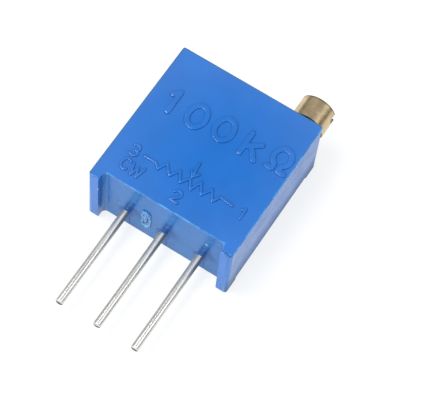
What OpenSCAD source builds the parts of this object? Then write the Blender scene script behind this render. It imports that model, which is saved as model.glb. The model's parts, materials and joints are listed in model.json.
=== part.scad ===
// Square multiturn trimmer potentiometer, side adjusted, with three leads in a row.
//
// The part lies on its back. The origin is the centre of the back face; +Z points at the marked
// face, +Y at the adjustment screw and -Y along the leads. Lead 1 is on the +X side, lead 3 on
// the -X side. Turning the screw clockwise, seen from its slot, carries the wiper to lead 3.
// The housing is open at the back: the works go in that way, then the back cover closes it.
// All lengths are in millimetres.

/* [Housing] */
// Width, across the row of leads
body_w = 9.53; // [9:0.01:13]
// Height, from the ends of the feet to the screw end
body_h = 10.03; // [9.5:0.01:14]
// Depth, from the back to the marked face
body_d = 4.83; // [4.7:0.01:7]
// Thickness of the two side walls
side_wall = 0.45; // [0.35:0.01:0.5]
// Thickness of the marked wall
face_wall = 0.45; // [0.35:0.01:0.5]
// Thickness of the wall at the screw end
end_wall = 0.5; // [0.4:0.01:0.8]
// Thickness of the wall that the leads pass through
lead_wall = 0.8; // [0.6:0.01:1.2]
// Width of each standoff foot
foot_w = 0.7; // [0.4:0.01:1]
// Height of the feet below the lead wall
foot_h = 0.62; // [0.3:0.01:0.9]
// Fillet between each foot and the lead wall
foot_fillet = 0.3; // [0.1:0.01:0.5]
// Height of the relief along the back edge of each side wall
relief_h = 0.3; // [0.1:0.01:0.3]
// Distance from that relief to the ends of the housing
relief_end = 1.1; // [0.8:0.01:2]
// Rounding of the upright corners
corner_r = 0.24; // [0.1:0.01:0.4]
// Rounding of the edges round the marked face and the back
edge_r = 0.1; // [0.04:0.01:0.2]
// Thickness of the cover that closes the back
cover_t = 0.45; // [0.3:0.01:0.6]

/* [Leads] */
// Diameter of the lead wire
lead_d = 0.5; // [0.4:0.01:0.6]
// Distance between neighbouring leads
lead_pitch = 2.54; // [2.1:0.01:3.1]
// Length of lead beyond the feet
lead_out = 6.2; // [3:0.05:12]
// Length of lead that lies on its pad inside
lead_in = 0.95; // [0.7:0.01:1.2]
// Width of the flattened inner end
flat_w = 0.56; // [0.5:0.01:0.7]
// Thickness of the flattened inner end
flat_t = 0.36; // [0.25:0.01:0.4]
// Radius of the funnel round each lead, at the surface
funnel_r = 0.48; // [0.3:0.01:0.6]
// Depth of that funnel
funnel_h = 0.22; // [0.1:0.01:0.4]

/* [Adjustment screw] */
// Distance of the screw's axis from the side
screw_side = 1.11; // [1.05:0.01:1.5]
// Distance of the screw's axis from the marked face
screw_face = 1.27; // [1.25:0.01:1.5]
// Diameter of the slotted head
head_d = 2.22; // [1.8:0.01:2.4]
// Length of screw outside the housing
head_out = 1.59; // [1.4:0.01:2.5]
// Gap between the head and the housing
head_gap = 0.1; // [0.05:0.01:0.3]
// Width of the screwdriver slot
slot_w = 0.64; // [0.4:0.01:0.8]
// Depth of the screwdriver slot
slot_h = 0.56; // [0.4:0.01:0.9]
// Diameter of the neck that turns in the housing
neck_d = 1.56; // [1.45:0.01:1.9]
// Diameter of the journal at the far end
journal_d = 0.7; // [0.5:0.01:0.8]
// Length of the bearing boss, from the inside of the end wall
boss_l = 1.5; // [1.4:0.01:1.8]

/* [Worm drive] */
// Teeth on the worm wheel, which is also the screw turns for one wheel turn
wheel_teeth = 32; // [28:1:40]
// Screw turns from one end of the travel to the other
screw_turns = 25; // [10:1:26]
// Turns of thread on the worm
worm_turns = 4.5; // [4:0.5:5]
// Width of the wheel's toothed rim
wheel_face = 1.1; // [0.8:0.05:1.2]
// Free space beyond the rim, on the side away from the worm
wheel_side_gap = 0.5; // [0.2:0.01:0.8]
// Radius of the fixed post that the wheel turns on
post_r = 0.6; // [0.5:0.01:0.8]
// Half angle of the stop lug on the wheel
lug_half = 8; // [5:1:12]

/* [Element and wiper] */
// Thickness of the ceramic substrate
substrate_t = 0.635; // [0.5:0.005:0.8]
// Thickness of the printed films
film_t = 0.02; // [0.01:0.005:0.03]
// Middle radius of the resistive track
track_r = 2.2; // [2:0.01:2.3]
// Width of the resistive track
track_w = 0.7; // [0.5:0.01:0.9]
// Angle of the gap between the two ends of the track
track_gap = 60; // [56:1:64]
// Height of the wiper, from the films to the wheel
wiper_h = 0.9; // [0.8:0.01:1]
// Number of contact fingers in the brush
fingers = 5; // [3:1:7]

/* [Hidden] */
$fn = 64;

// Clearances
eps = 0.01;            // overrun of a cut past the surface that it opens
slip = 0.02;           // moulded pieces that drop into each other
lead_fit = 0.01;       // round each lead in its slot
lead_step = 0.08;      // how far the round wire reaches into its funnel
run_fit = 0.04;        // round a turning journal
end_play = 0.03;       // at each end of a turning piece
thread_gap = 0.047;    // between the thread and the channel in the side wall
worm_pass = 0.015;     // between the thread's crest and the neck, whose bore it goes in through
ring_play = 0.012;     // inside and outside the seal ring
flank_play = 0.03;     // beside each worm tooth flank
contact_gap = 0.025;   // under the wiper contacts
wheel_end_gap = 0.3;   // least room between the rim and the end walls
stop_play = 1;         // degrees left before the lug meets its stop

// Inside of the housing
half_w = body_w / 2;
half_h = body_h / 2;
in_x = half_w - side_wall;
in_y0 = -half_h + foot_h + lead_wall;
in_y1 = half_h - end_wall;
in_z = body_d - face_wall;
lead_face_y = -half_h + foot_h;

// Screw axis, and the levels along it
screw_x = half_w - screw_side;
screw_z = body_d - screw_face;
neck_r = neck_d / 2;
bore_r = neck_r + run_fit;
worm_r = neck_r - worm_pass;
head_y = half_h + head_gap;
tip_y = half_h + head_out;
boss_y = in_y1 - boss_l;
boss_wall = 0.4;
boss_r = bore_r + boss_wall;
journal_r = journal_d / 2;
journal_bore_r = journal_r + run_fit;
bearing_l = 0.9;
bearing_wall = 0.36;
journal_sink = 0.3;    // how far the blind bearing reaches into the lead wall
channel_r = worm_r + thread_gap;
shaft_r = 0.42;
groove_r = 0.4;
head_chamfer = 0.04;
retainer_t = 0.2;
retainer_in = 0.4;     // from the inner end of the boss to the middle of the retainer
retainer_y = boss_y + retainer_in;
fork_half = groove_r + run_fit;
retainer_half = in_x - screw_x - 2 * slip;
retainer_rise = 0.5;   // from the screw's axis to the ends of the fork
retainer_z0 = screw_z - boss_r;
retainer_z1 = screw_z + retainer_rise;
ring_tube_r = (bore_r - groove_r) / 2 - ring_play;
ring_groove_w = 2 * ring_tube_r + end_play;
ring_y = half_h - end_wall / 2 - ring_groove_w;

// Worm and wheel: the wheel fills the room that the width leaves beside the worm, or the height
wheel_by_width = (screw_x - worm_r + in_x - wheel_side_gap) / wheel_teeth;
wheel_by_height = ((in_y1 - in_y0) / 2 - wheel_end_gap) / (wheel_teeth / 2 + 1);
gear_module = min(wheel_by_width, wheel_by_height);
worm_pitch = PI * gear_module;
worm_pitch_r = worm_r - gear_module;
worm_root_r = worm_r - 2.25 * gear_module;
worm_l = worm_turns * worm_pitch;
wheel_pitch_r = gear_module * wheel_teeth / 2;
wheel_tip_r = wheel_pitch_r + gear_module;
wheel_root_r = wheel_pitch_r - 1.25 * gear_module;
wheel_x = screw_x - worm_pitch_r - wheel_pitch_r;
wheel_y = (in_y0 + in_y1) / 2;
pressure_angle = 20;
lead_angle = atan(worm_pitch / (2 * PI * worm_pitch_r));
travel = 360 * screw_turns / wheel_teeth;

// Levels above the back face
substrate_z = cover_t;
film_z = substrate_z + substrate_t;
film_top = film_z + film_t;
lead_z = film_top + lead_d / 2;
contact_z = film_top + contact_gap;
wheel_z0 = film_top + wiper_h;
rim_z0 = screw_z - wheel_face / 2;
rim_z1 = screw_z + wheel_face / 2;
hub_z1 = in_z - end_play;
post_clear = 0.35;     // from the underside of the wheel to the end of its post
post_z0 = wheel_z0 + post_clear;

// Leads, pads and track
lead_in_y = in_y0 + lead_in;
pad_w = 1;
pad_h = lead_in + 0.1;
pad_past = 0.3;        // from the end of the lead to the end of its pad
pad_y = lead_in_y - pad_h / 2 + pad_past;
trace_w = 0.4;
collector_r = 0.75;
solder_r = 0.46;
solder_back = 0.1;     // from the middle of the joint to the end of the lead
end_sector = 12;       // angle of the silver overprint at each end of the track

// Stops between the wheel's upper face and the marked wall
hub_r = 1.1;
skirt_inset = 0.4;     // from the roots of the teeth to the skirt below them
skirt_r = wheel_root_r - skirt_inset;
stop_r0 = 1.4;
stop_r1 = 2.4;
stop_half = 180 - travel / 2 - lug_half - stop_play;

// Wiper, in the frame of the wheel with its arm along +Y
stud_r = 0.16;
stud_x = 0.55;
stud_z0 = wheel_z0 - 0.2;
strip_t = 0.1;
arm_w = 0.8;
plate_half = 1.1;
plate_margin = 0.35;   // from the middle of a stud to the side of the plate
plate_room = 0.15;     // from the end of the plate to the wheel's cored-out part
finger_t = 0.06;
finger_w = 0.09;
arm_end = [track_r - 0.38, contact_z + 0.26];
arm_slope = [0.25, -0.12];     // last straight of the arm, which the fingers lie under

function lead_x(n) = (2 - n) * lead_pitch;
function polar(r, a) = [r * cos(a), r * sin(a)];

// ---- shared shapes ----

// Rectangle with round corners, centred on the origin
module rounded_rect(size, r) {
    square([size.x - 2 * r, size.y], center = true);
    square([size.x, size.y - 2 * r], center = true);
    for (sx = [-1, 1], sy = [-1, 1])
        translate([sx * (size.x / 2 - r), sy * (size.y / 2 - r)]) circle(r);
}

// Block standing on z = 0, with radius r on its upright corners and edge on the other edges
module rounded_block(size, r, edge) {
    translate([0, 0, size.z / 2]) intersection() {
        linear_extrude(size.z, center = true) rounded_rect([size.x, size.y], r);
        rotate([90, 0, 0]) linear_extrude(size.y, center = true) rounded_rect([size.x, size.z], edge);
        rotate([0, 90, 0]) linear_extrude(size.x, center = true) rounded_rect([size.z, size.y], edge);
    }
}

// Block between two opposite corners
module block(a, b) {
    translate(a) cube(b - a);
}

// Cylinder along +Y on the screw's axis, from y0 to y1
module along_screw(r, y0, y1) {
    translate([screw_x, y0, screw_z]) rotate([-90, 0, 0]) cylinder(h = y1 - y0, r = r);
}

// Ring sector in the XY plane, between two radii and two angles
module sector(r0, r1, a0, a1) {
    steps = ceil((a1 - a0) / 30);
    reach = r1 / cos((a1 - a0) / steps / 2) + 0.1;
    intersection() {
        difference() {
            circle(r1);
            circle(r0);
        }
        polygon(concat([[0, 0]], [for (i = [0:steps]) polar(reach, a0 + (a1 - a0) * i / steps)]));
    }
}

// Straight stroke with round ends, from a to b
module stroke(a, b, w) {
    translate(a) rotate(atan2(b.y - a.y, b.x - a.x)) translate([0, -w / 2]) square([norm(b - a), w]);
    translate(a) circle(w / 2);
    translate(b) circle(w / 2);
}

// Strip of sheet bent along a path in the YZ plane, w wide across X
module bent_strip(path, t, w) {
    rotate([90, 0, 90]) linear_extrude(w, center = true)
        for (i = [0:len(path) - 2]) stroke(path[i], path[i + 1], t);
}

// Put a child that is drawn round the wheel's axis in its place
module at_wheel() {
    translate([wheel_x, wheel_y, 0]) children();
}

// ---- housing and cover ----

// Slot that the flattened end of a lead is dropped through from the back
module lead_slot(n) {
    half = flat_w / 2 + lead_fit;
    block([lead_x(n) - half, lead_face_y - eps, -eps],
          [lead_x(n) + half, in_y0 + eps, film_top + flat_t + lead_fit]);
}

module lead_funnel(n) {
    translate([lead_x(n), lead_face_y, lead_z]) rotate([-90, 0, 0])
        cylinder(h = funnel_h, r1 = funnel_r, r2 = lead_d / 2 + lead_fit);
}

// Step between the two feet, cut by a shape whose outer corners lie beyond the housing
module foot_step() {
    reach = 2 * (foot_h + foot_fillet);
    translate([0, lead_face_y - reach / 2, -eps]) linear_extrude(body_d + 2 * eps)
        rounded_rect([body_w - 2 * foot_w, reach], foot_fillet);
}

// Relief in the back edge of both side walls, which leaves the part standing on its corners
module side_relief() {
    for (side = [-1, 1]) translate([side * (half_w - side_wall / 2), 0, 0])
        cube([side_wall + 2 * eps, body_h - 2 * relief_end, 2 * relief_h], center = true);
}

// Oval mark left by the moulding gate on the lead face, between leads 2 and 3
module gate_mark() {
    mark_w = 0.62;
    mark_l = 2.1;
    mark_h = 0.04;
    straight = (mark_l - mark_w) / 2;
    translate([-0.45 * lead_pitch, lead_face_y + eps, body_d * 0.41]) rotate([90, 0, 0])
        linear_extrude(mark_h + eps) stroke([0, -straight], [0, straight], mark_w);
}

// Block round the screw's neck, hung from the marked wall in the corner
module screw_boss() {
    block([screw_x - boss_r, boss_y, screw_z - boss_r], [in_x + eps, in_y1 + eps, in_z + eps]);
}

// Block round the journal, against the lead wall
module journal_bearing() {
    r = journal_bore_r + bearing_wall;
    block([screw_x - r, in_y0 - eps, screw_z - r], [in_x + eps, in_y0 + bearing_l, in_z + eps]);
}

// Slot that the retainer slides up into, open towards the back
module retainer_slot() {
    half = retainer_half + slip;
    block([screw_x - half, retainer_y - retainer_t / 2 - slip / 2, screw_z - boss_r - eps],
          [screw_x + half, retainer_y + retainer_t / 2 + slip / 2, retainer_z1 + slip]);
}

module housing() {
    color("royalblue") {
        difference() {
            union() {
                difference() {
                    rounded_block([body_w, body_h, body_d], corner_r, edge_r);
                    // cavity
                    block([-in_x, in_y0, -eps], [in_x, in_y1, in_z]);
                    foot_step();
                    side_relief();
                }
                gate_mark();
                screw_boss();
                journal_bearing();
                // post for the wheel, and the stop beside it
                at_wheel() {
                    translate([0, 0, post_z0]) cylinder(h = in_z - post_z0 + eps, r = post_r);
                    translate([0, 0, rim_z1 + end_play]) linear_extrude(in_z - rim_z1 - end_play + eps)
                        sector(stop_r0, stop_r1, 270 - stop_half, 270 + stop_half);
                }
            }
            along_screw(bore_r, boss_y - eps, half_h + eps);
            // relief for the thread in the side wall
            along_screw(channel_r, in_y0 + bearing_l, boss_y + eps);
            along_screw(journal_bore_r, in_y0 - journal_sink, in_y0 + bearing_l + eps);
            retainer_slot();
            for (n = [1:3]) {
                lead_slot(n);
                lead_funnel(n);
            }
        }
    }
}

// Inset cover with a tab under each lead, which closes the slot that the lead went in by
module back_cover() {
    half = flat_w / 2 + lead_fit - slip;
    color("cornflowerblue") difference() {
        union() {
            block([-in_x + slip, in_y0 + slip, 0], [in_x - slip, in_y1 - slip, cover_t]);
            for (n = [1:3]) {
                block([lead_x(n) - half, lead_face_y, 0], [lead_x(n) + half, in_y0 + slip + eps, cover_t]);
                block([lead_x(n) - half, lead_face_y, 0], [lead_x(n) + half, in_y0, film_top - lead_fit]);
            }
        }
        for (n = [1:3]) lead_funnel(n);
    }
}

// ---- leads and element ----

// Flattened inner end of a lead, down on its pad
module lead_flat(n) {
    block([lead_x(n) - flat_w / 2, lead_face_y + lead_step - eps, film_top],
          [lead_x(n) + flat_w / 2, lead_in_y, film_top + flat_t]);
}

module lead(n) {
    color("gainsboro") {
        translate([lead_x(n), -half_h - lead_out, lead_z]) rotate([-90, 0, 0])
            cylinder(h = lead_out + foot_h + lead_step, d = lead_d);
        lead_flat(n);
    }
}

module solder_joint(n) {
    color("silver") difference() {
        translate([lead_x(n), lead_in_y - solder_back, film_top]) intersection() {
            sphere(solder_r);
            translate([-solder_r, -solder_r, 0]) cube(2 * solder_r);
        }
        lead_flat(n);
    }
}

module ceramic_substrate() {
    gap = 2 * slip;
    color("white") block([-in_x + gap, in_y0 + gap, substrate_z], [in_x - gap, in_y1 - gap, film_z]);
}

// A printed film, from its flat outline
module film() {
    translate([0, 0, film_z]) linear_extrude(film_t) children();
}

module resistive_track() {
    color("dimgray") film() at_wheel()
        sector(track_r - track_w / 2, track_r + track_w / 2, track_gap / 2 - 90, 270 - track_gap / 2);
}

module pad(n) {
    translate([lead_x(n), pad_y]) square([pad_w, pad_h], center = true);
}

// Silver film from one end of the track to its pad; side is +1 at lead 1 and -1 at lead 3
module end_conductor(n, side) {
    half = track_gap / 2 - end_sector;
    a = 270 + side * (half + end_sector / 2);
    color("lightgray") film() difference() {
        union() {
            translate([wheel_x, wheel_y]) sector(track_r - track_w / 2, track_r + track_w / 2,
                a - end_sector / 2, a + end_sector / 2);
            stroke([wheel_x, wheel_y] + polar(track_r, a), [lead_x(n), pad_y], trace_w);
            pad(n);
        }
        // butt the film against the track
        translate([wheel_x, wheel_y]) sector(track_r - track_w / 2, track_r + track_w / 2,
            track_gap / 2 - 90, 270 - track_gap / 2);
    }
}

module collector_conductor() {
    color("lightgray") film() {
        translate([wheel_x, wheel_y]) circle(collector_r);
        stroke([wheel_x, wheel_y], [lead_x(2), pad_y], trace_w);
        pad(2);
    }
}

// ---- adjustment screw ----

// Angle from the middle of the thread at which its flank reaches radius r
function worm_angle(r) =
    90 - 180 * flank_play / worm_pitch + 360 * (worm_pitch_r - r) * tan(pressure_angle) / worm_pitch;

// Cross-section of the worm, with the crest of its thread at angle 0
module worm_section() {
    flank_steps = 4;
    half = concat(
        [for (i = [0:1]) polar(worm_r, worm_angle(worm_r) * i / 2)],
        [for (i = [0:flank_steps]) let (r = worm_r + (worm_root_r - worm_r) * i / flank_steps)
            polar(r, worm_angle(r))],
        [polar(worm_root_r, (worm_angle(worm_root_r) + 180) / 2)]);
    mirrored = [for (i = [len(half) - 1:-1:1]) [half[i].x, -half[i].y]];
    polygon(concat(half, mirrored));
}

// Sides of a groove of width w at level y, in a neck of radius neck_r
function groove(y, w) =
    [[neck_r, y - w / 2], [groove_r, y - w / 2], [groove_r, y + w / 2], [neck_r, y + w / 2]];

// Turned body of the screw: journal, core, shaft, neck with two grooves, and head
module turned_body() {
    end_y = in_y0 - journal_sink + end_play;
    neck_y = boss_y + end_play;
    worm_y0 = wheel_y - worm_l / 2;
    worm_y1 = wheel_y + worm_l / 2;
    head_r = head_d / 2;
    core_r = worm_root_r - eps;
    chamfer = 0.05;    // at the end of the journal and under the head
    rotate_extrude() polygon(concat(
        [[0, end_y], [journal_r - chamfer, end_y], [journal_r, end_y + chamfer], [journal_r, worm_y0 + eps],
         [core_r, worm_y0 + eps], [core_r, worm_y1 - eps], [shaft_r, worm_y1 - eps], [shaft_r, neck_y],
         [neck_r, neck_y]],
        groove(retainer_y, retainer_t + 2 * end_play),
        groove(ring_y, ring_groove_w),
        [[neck_r, head_y], [head_r - chamfer, head_y], [head_r, head_y + chamfer],
         [head_r, tip_y - head_chamfer], [head_r - head_chamfer, tip_y], [0, tip_y]]));
}

module worm_thread() {
    slices_per_turn = 16;
    translate([0, 0, wheel_y - worm_l / 2]) rotate(180 - 180 * worm_turns)
        linear_extrude(worm_l, twist = -360 * worm_turns, slices = slices_per_turn * worm_turns, $fn = 0)
        worm_section();
}

module adjustment_screw() {
    color("darkkhaki") difference() {
        translate([screw_x, 0, screw_z]) rotate([-90, 0, 0]) {
            turned_body();
            worm_thread();
        }
        // screwdriver slot
        block([screw_x - head_d, tip_y - slot_h, screw_z - slot_w / 2],
              [screw_x + head_d, tip_y + eps, screw_z + slot_w / 2]);
    }
}

module screw_seal_ring() {
    color("black") translate([screw_x, ring_y, screw_z]) rotate([-90, 0, 0])
        rotate_extrude() translate([(bore_r + groove_r) / 2, 0]) circle(ring_tube_r, $fn = 32);
}

// Fork that drops round the screw's groove and keeps it from moving along its axis
module screw_retainer() {
    color("silver") translate([0, retainer_y + retainer_t / 2, 0]) rotate([90, 0, 0])
        linear_extrude(retainer_t) difference() {
            translate([screw_x - retainer_half, retainer_z0])
                square([2 * retainer_half, retainer_z1 - retainer_z0]);
            translate([screw_x, screw_z]) circle(fork_half);
            translate([screw_x - fork_half, screw_z]) square([2 * fork_half, retainer_z1 - screw_z + eps]);
        }
}

// ---- worm wheel and wiper ----

// Angle between an involute's start on the base circle and its point at radius r
function involute(r, base) = let (t = sqrt(max(0, r * r / (base * base) - 1))) t * 180 / PI - atan(t);

// Outline of the wheel in the worm's plane, with a gap between two teeth at angle 0
module wheel_section() {
    base = wheel_pitch_r * cos(pressure_angle);
    at_pitch = involute(wheel_pitch_r, base);
    half_tooth = 90 / wheel_teeth - flank_play / 2 / wheel_pitch_r * 180 / PI;
    function half_angle(r) = half_tooth + at_pitch - involute(r, base);
    radii = [wheel_root_r, wheel_pitch_r - gear_module / 4, wheel_pitch_r + gear_module / 3, wheel_tip_r];
    polygon([for (i = [0:wheel_teeth - 1]) let (mid = (i + 0.5) * 360 / wheel_teeth)
        each concat([for (r = radii) polar(r, mid - half_angle(r))],
                    [for (k = [len(radii) - 1:-1:0]) polar(radii[k], mid + half_angle(radii[k]))])]);
}

module worm_wheel() {
    twist = wheel_face * tan(lead_angle) / wheel_pitch_r * 180 / PI;
    rim_wall = 0.45;
    core_top = 0.25;
    color("ivory") at_wheel() difference() {
        union() {
            translate([0, 0, rim_z0]) rotate(-twist / 2)
                linear_extrude(wheel_face, twist = -twist, slices = 2) wheel_section();
            translate([0, 0, wheel_z0]) cylinder(h = rim_z0 - wheel_z0, r = skirt_r);
            translate([0, 0, rim_z1]) cylinder(h = hub_z1 - rim_z1, r = hub_r);
            translate([0, 0, rim_z1]) linear_extrude(hub_z1 - rim_z1)
                sector(stop_r0, stop_r1, 90 - lug_half, 90 + lug_half);
            // two studs that the wiper is staked to
            for (side = [-1, 1]) translate([side * stud_x, 0, stud_z0])
                cylinder(h = wheel_z0 - stud_z0 + eps, r = stud_r);
        }
        translate([0, 0, post_z0 - end_play]) cylinder(h = body_d, r = post_r + run_fit);
        // the underside is cored out between the hub and the skirt
        translate([0, 0, wheel_z0 - eps]) difference() {
            cylinder(h = rim_z0 - wheel_z0 - core_top, r = skirt_r - rim_wall);
            translate([0, 0, -eps]) cylinder(h = body_d, r = plate_half + plate_room);
        }
    }
}

// Sprung plate under the wheel, with an arm out to the track and a tongue folded back to the axis
module wiper_spring() {
    top = wheel_z0 - strip_t / 2;
    dimple_r = 0.13;
    tongue_w = 0.4;
    color("goldenrod") at_wheel() {
        difference() {
            translate([0, 0, wheel_z0 - strip_t]) linear_extrude(strip_t)
                square([2 * (stud_x + plate_margin), 2 * plate_half], center = true);
            for (side = [-1, 1]) translate([side * stud_x, 0, 0])
                cylinder(h = body_d, r = stud_r + lead_fit);
        }
        bent_strip([[plate_half - strip_t, top], [plate_half + 0.1, top - 0.05],
                    arm_end - arm_slope, arm_end], strip_t, arm_w);
        bent_strip([[-plate_half + strip_t, top], [-plate_half - 0.1, top - 0.06],
                    [-plate_half - 0.16, top - 0.24], [-plate_half, top - 0.36],
                    [-0.1, contact_z + dimple_r + 0.02], [0.15, contact_z + dimple_r + 0.02]],
                   strip_t, tongue_w);
        translate([0, 0, contact_z + dimple_r]) sphere(dimple_r, $fn = 32);
    }
}

// Comb of fine fingers under the end of the arm, which ride on the track
module wiper_brush() {
    pitch = arm_w / fingers;
    under = arm_end + [arm_slope.y, -arm_slope.x] / norm(arm_slope) * (strip_t + finger_t) / 2;
    tip_z = contact_z + finger_t / 2;
    color("gold") at_wheel() for (i = [0:fingers - 1]) translate([(i - (fingers - 1) / 2) * pitch, 0, 0])
        bent_strip([under - arm_slope / 2, under, [track_r, tip_z], [track_r + 0.1, tip_z + 0.06]],
                   finger_t, finger_w);
}

housing();
back_cover();
lead(1);  // lead_1
lead(2);  // lead_2
lead(3);  // lead_3
ceramic_substrate();
resistive_track();
end_conductor(1, 1);  // end_conductor_1
end_conductor(3, -1);  // end_conductor_3
collector_conductor();
solder_joint(1);  // solder_joint_1
solder_joint(2);  // solder_joint_2
solder_joint(3);  // solder_joint_3
adjustment_screw();
screw_seal_ring();
screw_retainer();
worm_wheel();
wiper_spring();
wiper_brush();
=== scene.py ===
# %% [markdown]
# # A square multiturn trimmer
#
# The part is about a centimetre across: a blue moulded case that lies on its back, a brass
# adjustment screw in one corner and three tinned leads. Its solids come packed from the CAD
# program as a fixed frame. Blender adds what those solids leave out: softened edges, the
# raised marking, the scar of the moulding gate, and a surface for every piece.

# %% Load the frame
import math
import random

import bpy
import bmesh
from mathutils import Matrix, Vector
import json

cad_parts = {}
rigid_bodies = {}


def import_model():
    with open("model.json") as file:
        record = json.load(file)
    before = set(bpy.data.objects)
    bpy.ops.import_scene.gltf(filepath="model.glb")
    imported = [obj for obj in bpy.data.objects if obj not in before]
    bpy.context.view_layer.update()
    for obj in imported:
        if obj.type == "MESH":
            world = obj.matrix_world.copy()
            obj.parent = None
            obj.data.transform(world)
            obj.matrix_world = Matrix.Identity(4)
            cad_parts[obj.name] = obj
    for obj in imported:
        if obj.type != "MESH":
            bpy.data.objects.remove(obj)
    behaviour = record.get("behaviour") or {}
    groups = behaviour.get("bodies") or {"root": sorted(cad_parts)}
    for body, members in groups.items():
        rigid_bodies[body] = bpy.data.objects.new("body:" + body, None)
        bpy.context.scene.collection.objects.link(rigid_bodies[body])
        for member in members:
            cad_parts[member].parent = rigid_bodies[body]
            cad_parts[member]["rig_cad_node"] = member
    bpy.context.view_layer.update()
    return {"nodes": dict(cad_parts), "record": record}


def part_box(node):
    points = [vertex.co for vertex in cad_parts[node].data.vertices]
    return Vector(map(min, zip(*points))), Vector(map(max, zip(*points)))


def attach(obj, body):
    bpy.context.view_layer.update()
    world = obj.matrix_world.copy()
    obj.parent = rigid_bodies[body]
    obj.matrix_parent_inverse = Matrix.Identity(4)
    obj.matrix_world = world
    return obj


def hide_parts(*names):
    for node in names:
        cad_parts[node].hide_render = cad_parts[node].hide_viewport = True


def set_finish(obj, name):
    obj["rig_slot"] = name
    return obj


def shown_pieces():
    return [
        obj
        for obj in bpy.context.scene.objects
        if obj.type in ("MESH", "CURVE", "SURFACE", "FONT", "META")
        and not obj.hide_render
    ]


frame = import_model()
nodes = frame["nodes"]
for packed in bpy.data.materials:
    packed.name = "packed_" + packed.name  # leaves the plain names for the surfaces made below

# %% [markdown]
# Blender works in metres and this part in millimetres, so one constant turns one into the
# other. The levels that the new pieces need could be typed in, but they are read from the
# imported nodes, so that the pieces follow when a solid changes.

# %% Units and levels
MM = 0.001
case_low, case_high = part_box("housing")
screw_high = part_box("adjustment_screw")[1]
lead_box = {n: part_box(f"lead_{n}") for n in (1, 2, 3)}

TOP = case_high.z  # the marked face
FEET = case_low.y  # the ends of the two feet
FOOT_H = 0.62 * MM
FOOT_W = 0.7 * MM
STEP_X = case_high.x - FOOT_W  # half the width of the step between the feet
RELIEF_H = 0.3 * MM  # the relief along the back edge of each side wall
LEAD_FACE = FEET + FOOT_H
WIRE_R = 0.25 * MM
WIRE_Z = lead_box[2][1].z - WIRE_R
LEAD_X = {n: (low.x + high.x) / 2 for n, (low, high) in lead_box.items()}
LEAD_END = lead_box[1][0].y
print("case", [round(v / MM, 3) for v in (*case_low, *case_high)])
print("leads at x", {n: round(x / MM, 2) for n, x in LEAD_X.items()})

# %% [markdown]
# A long lens close to a small thing needs a near clipping distance, or the part is cut away.
# The camera stands over the corner by lead 1 and is rolled a little. A constraint could aim
# it, but would lose the roll, so the directions of its view are written out and made into a
# turning matrix.

# %% Camera
EYE = Vector((22.6357, -45.2035, 100.7623)) * MM
AHEAD = Vector((-0.191333, 0.394862, -0.898596)).normalized()
UPWARD = Vector((-0.502901, 0.746772, 0.435227))
RIGHT = AHEAD.cross(UPWARD).normalized()
UPWARD = RIGHT.cross(AHEAD)

camera_data = bpy.data.cameras.new("camera")
camera_data.lens = 162.83
camera_data.sensor_width = 36
camera_data.clip_start = 0.002
camera_data.clip_end = 10
camera = bpy.data.objects.new("camera", camera_data)
bpy.context.scene.collection.objects.link(camera)
turned = Matrix((RIGHT, UPWARD, -AHEAD)).transposed().to_4x4()
camera.matrix_world = Matrix.Translation(EYE) @ turned
bpy.context.scene.camera = camera
print("camera", round(EYE.length / MM, 1), "mm from the part")

# %% [markdown]
# Every edit below goes the same way: nothing else is selected, the piece goes into edit mode,
# the faces or edges to work on are picked in code by where they are, and an operator acts on
# them. Picking by number would be shorter, but numbers change with every edit, and places
# don't. These helpers do the picking.


# %% Helpers for picking and editing
def only(obj):
    """Select one object and nothing else."""
    if bpy.context.mode != "OBJECT":
        bpy.ops.object.mode_set(mode="OBJECT")
    for other in bpy.context.view_layer.objects:
        other.select_set(False)
    obj.select_set(True)
    bpy.context.view_layer.objects.active = obj


def edit(obj, what="VERT"):
    """Enter edit mode with nothing picked, and return the editable mesh."""
    only(obj)
    bpy.ops.object.mode_set(mode="EDIT")
    bpy.ops.mesh.select_mode(type=what)
    bpy.ops.mesh.select_all(action="DESELECT")
    return bmesh.from_edit_mesh(obj.data)


def pick(obj, kind, test):
    """Pick the vertices, edges or faces that pass a test, and say how many there are."""
    mesh = edit(obj, {"verts": "VERT", "edges": "EDGE", "faces": "FACE"}[kind])
    count = 0
    for item in getattr(mesh, kind):
        chosen = bool(test(item))
        if chosen:
            item.select_set(True)
            count += 1
    mesh.select_flush_mode()
    bmesh.update_edit_mesh(obj.data)
    return count


def done():
    """Leave edit mode."""
    bpy.ops.object.mode_set(mode="OBJECT")


def middle(edge):
    a, b = edge.verts
    return (a.co + b.co) / 2


def apply_place(obj):
    """Put the place, turn and scale of an object into its mesh."""
    only(obj)
    bpy.ops.object.transform_apply(location=True, rotation=True, scale=True)
    return obj


print("helpers ready")

# %% [markdown]
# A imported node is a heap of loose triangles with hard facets. Where a piece is round or needs
# soft edges, a copy is merged into one skin, its flat faces are joined up again, and it is
# shaded smooth wherever the faces meet at less than about thirty degrees. Smooth shading lets
# a small rounded edge tint the whole flat face beside it, so the normals are then weighted by
# area, which gives the large faces the last word. The copy stands for the node.


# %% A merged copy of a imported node
MERGE = 2e-7
FLAT = math.radians(0.6)
SMOOTH = math.radians(32)


def merged_copy(node, name, body, slot):
    """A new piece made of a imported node, which it replaces."""
    only(nodes[node])
    bpy.ops.object.duplicate()
    piece = bpy.context.view_layer.objects.active
    piece.name = name
    piece.data.name = name
    del piece["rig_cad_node"]
    if piece.data.has_custom_normals:
        bpy.ops.mesh.customdata_custom_splitnormals_clear()
    edit(piece)
    bpy.ops.mesh.select_all(action="SELECT")
    bpy.ops.mesh.remove_doubles(threshold=MERGE)
    bpy.ops.mesh.dissolve_limited(angle_limit=FLAT)
    done()
    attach(piece, body)
    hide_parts(node)
    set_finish(piece, slot)
    return piece


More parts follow.
